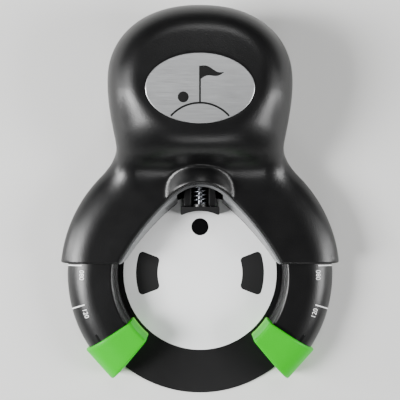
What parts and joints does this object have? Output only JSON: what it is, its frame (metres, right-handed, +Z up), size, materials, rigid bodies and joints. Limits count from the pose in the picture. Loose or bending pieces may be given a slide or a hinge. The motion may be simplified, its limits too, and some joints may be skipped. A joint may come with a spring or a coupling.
{
  "type": "putting cup",
  "caption": "Automatic putting cup: white target plate, two curved gates that slide into the shoulders, and a solenoid kicker that rolls the ball back.",
  "frame": {"origin": "centre of the cup plate, on the ground", "axes": "+Z up, +Y towards the tall rear head, -Y the side where balls roll in, +X to the right seen from above with the head away"},
  "size_m": [0.1762, 0.2453, 0.0595],
  "materials": {
    "cover_black": "fine spark-eroded grain, satin",
    "tray_black": "fine grain, satin",
    "plate_white": "glossy moulded",
    "pad_rubber": "matt",
    "window_dark": "polished, dark infrared window",
    "liner_grey": "satin light grey",
    "badge_metal": null,
    "zinc_steel": "zinc plated",
    "bobbin_plastic": "natural nylon",
    "copper_wire": "enamelled copper winding",
    "board_green": "solder mask",
    "capacitor_sleeve": "shrink sleeve",
    "relay_case": "moulded",
    "socket_plastic": "natural nylon",
    "cell_sleeve": "printed sleeve, no lettering",
    "screw_steel": "zinc plated",
    "spring_steel": "spring wire",
    "wire_red": "insulated wire",
    "wire_grey": "insulated cable",
    "tip_green": "bright green, slightly translucent"
  },
  "bodies": {
    "housing": {"base_tray": "tray_black", "top_cover": "cover_black", "cup_plate": "plate_white", "left_plate_pad": "pad_rubber", "right_plate_pad": "pad_rubber", "sensor_window": "window_dark", "throat_liner": "liner_grey", "oval_badge": "badge_metal", "rubber_feet": "pad_rubber", "kicker_guide": "tray_black", "solenoid_frame": "zinc_steel", "solenoid_bobbin": "bobbin_plastic", "solenoid_winding": "copper_wire", "sensor_board": "board_green", "control_board": "board_green", "power_capacitor": "capacitor_sleeve", "drive_relay": "relay_case", "wire_sockets": "socket_plastic", "battery_cells": "cell_sleeve", "battery_contacts": "zinc_steel", "battery_springs": "zinc_steel", "switch_body": "tray_black", "cover_screws": "screw_steel", "plate_screws": "screw_steel", "solenoid_screws": "screw_steel", "board_screws": "screw_steel", "battery_leads": "wire_red", "solenoid_leads": "wire_red", "sensor_cable": "wire_grey"},
    "left_gate": {"left_gate_arm": "cover_black", "left_gate_tip": "tip_green", "left_tip_screw": "screw_steel"},
    "right_gate": {"right_gate_arm": "cover_black", "right_gate_tip": "tip_green", "right_tip_screw": "screw_steel"},
    "kicker": {"kicker_paddle": "tray_black", "plunger_rod": "screw_steel", "plunger_core": "zinc_steel", "kicker_spring": "spring_steel"},
    "power_switch": {"switch_knob": "tray_black"},
    "battery_hatch": {"battery_door": "tray_black"}
  },
  "joints": [
    {"name": "left_gate_turn", "type": "hinge", "parent": "housing", "child": "left_gate", "pos_m": [0, 0, 0], "axis": [0, 0, -1], "range_deg": [0, 38]},
    {"name": "right_gate_turn", "type": "hinge", "parent": "housing", "child": "right_gate", "pos_m": [0, 0, 0], "axis": [0, 0, 1], "range_deg": [0, 38]},
    {"name": "kicker_slide", "type": "slide", "parent": "housing", "child": "kicker", "axis": [0, -1, 0], "range_m": [0, 0.014], "stiffness_N_per_m": 120, "springref_m": -0.002, "deforming": ["kicker_spring"]},
    {"name": "switch_slide", "type": "slide", "parent": "housing", "child": "power_switch", "axis": [1, 0, 0], "range_m": [0, 0.004]},
    {"name": "battery_door_slide", "type": "slide", "parent": "housing", "child": "battery_hatch", "axis": [0, -1, 0], "range_m": [0, 0.007]}
  ]
}
